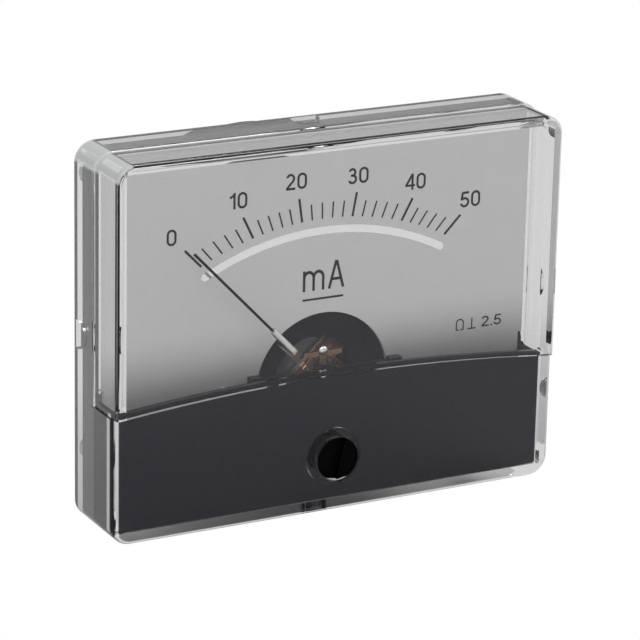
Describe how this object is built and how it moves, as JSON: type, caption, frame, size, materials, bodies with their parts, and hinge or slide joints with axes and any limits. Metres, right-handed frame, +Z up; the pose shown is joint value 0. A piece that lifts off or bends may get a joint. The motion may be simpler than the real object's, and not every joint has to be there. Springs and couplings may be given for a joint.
{
  "type": "analog panel meter",
  "caption": "Rectangular moving-coil panel meter with a clear stepped cover, mirrored arc scale, knife pointer, zero adjuster, round rear barrel, fixing studs and screw terminals",
  "frame": {"origin": "where the barrel's axis meets the panel face (the back of the flange), which is also the centre of the stud pattern and of the front", "axes": "+Z up, +X to the reader's right, -Y towards the reader; the barrel and studs run along +Y into the panel"},
  "size_m": [0.06, 0.0397, 0.047],
  "materials": {
    "black_moulding": "satin black moulding",
    "clear_cover": "clear polished plastic",
    "mask_black": "satin black",
    "dial_enamel": "matt light grey enamel with printed scale",
    "mirror": "silvered strip",
    "screw_steel": "zinc-plated steel",
    "frame_black": "black moulded frame",
    "yoke_steel": "turned soft iron",
    "magnet": "ground cast magnet alloy",
    "brass": "plain brass",
    "bridge_black": "blackened metal",
    "spring_bronze": "phosphor bronze ribbon",
    "aluminium": "plain sheet",
    "copper_wire": "enamelled copper wire",
    "pivot_steel": "polished pivot steel",
    "pointer_black": "black lacquered tube",
    "tinned_lug": "tinned",
    "board": "phenolic paper board",
    "resistor_body": "lacquered resistor body with tinned leads"
  },
  "bodies": {
    "case": {"rear_housing": "black_moulding", "front_cover": "clear_cover", "lower_mask": "mask_black", "dial_plate": "dial_enamel", "scale_mirror": "mirror", "dial_screws": "screw_steel", "movement_frame": "frame_black", "frame_screws": "screw_steel", "yoke_ring": "yoke_steel", "core_magnet": "magnet", "core_struts": "brass", "front_bridge": "bridge_black", "rear_bridge": "brass", "bridge_screws": "brass", "front_jewel_screw": "brass", "rear_jewel_screw": "brass", "jewel_lock_nuts": "brass", "rear_hairspring": "spring_bronze", "terminal_stud_positive": "brass", "terminal_stud_negative": "brass", "terminal_washers": "screw_steel", "solder_lugs": "tinned_lug", "terminal_nuts": "brass", "panel_studs": "screw_steel", "shunt_board": "board", "shunt_resistor": "resistor_body"},
    "movement": {"coil_former": "aluminium", "coil_winding": "copper_wire", "coil_end_plates": "aluminium", "front_staff": "pivot_steel", "rear_staff": "pivot_steel", "pointer_arm": "aluminium", "pointer_sleeve": "aluminium", "pointer_needle": "pointer_black", "balance_weights": "brass"},
    "regulator": {"regulator": "brass", "front_hairspring": "spring_bronze"},
    "zero_adjuster": {"zero_screw": "black_moulding"}
  },
  "joints": [
    {"name": "pointer_deflection", "type": "hinge", "parent": "case", "child": "movement", "pos_m": [0, 0, -0.0085], "axis": [0, 1, 0], "range_deg": [-3, 92], "stiffness_Nm_per_rad": 0.00002},
    {"name": "zero_adjust", "type": "hinge", "parent": "case", "child": "zero_adjuster", "pos_m": [0, 0, -0.0169], "axis": [0, 1, 0], "range_deg": [-40, 40]},
    {"name": "regulator_turn", "type": "hinge", "parent": "case", "child": "regulator", "pos_m": [0, 0, -0.0085], "axis": [0, 1, 0], "range_deg": [-6, 6]}
  ],
  "couplings": [
    {"joint": "regulator_turn", "follows": "zero_adjust", "ratio": 0.129}
  ]
}
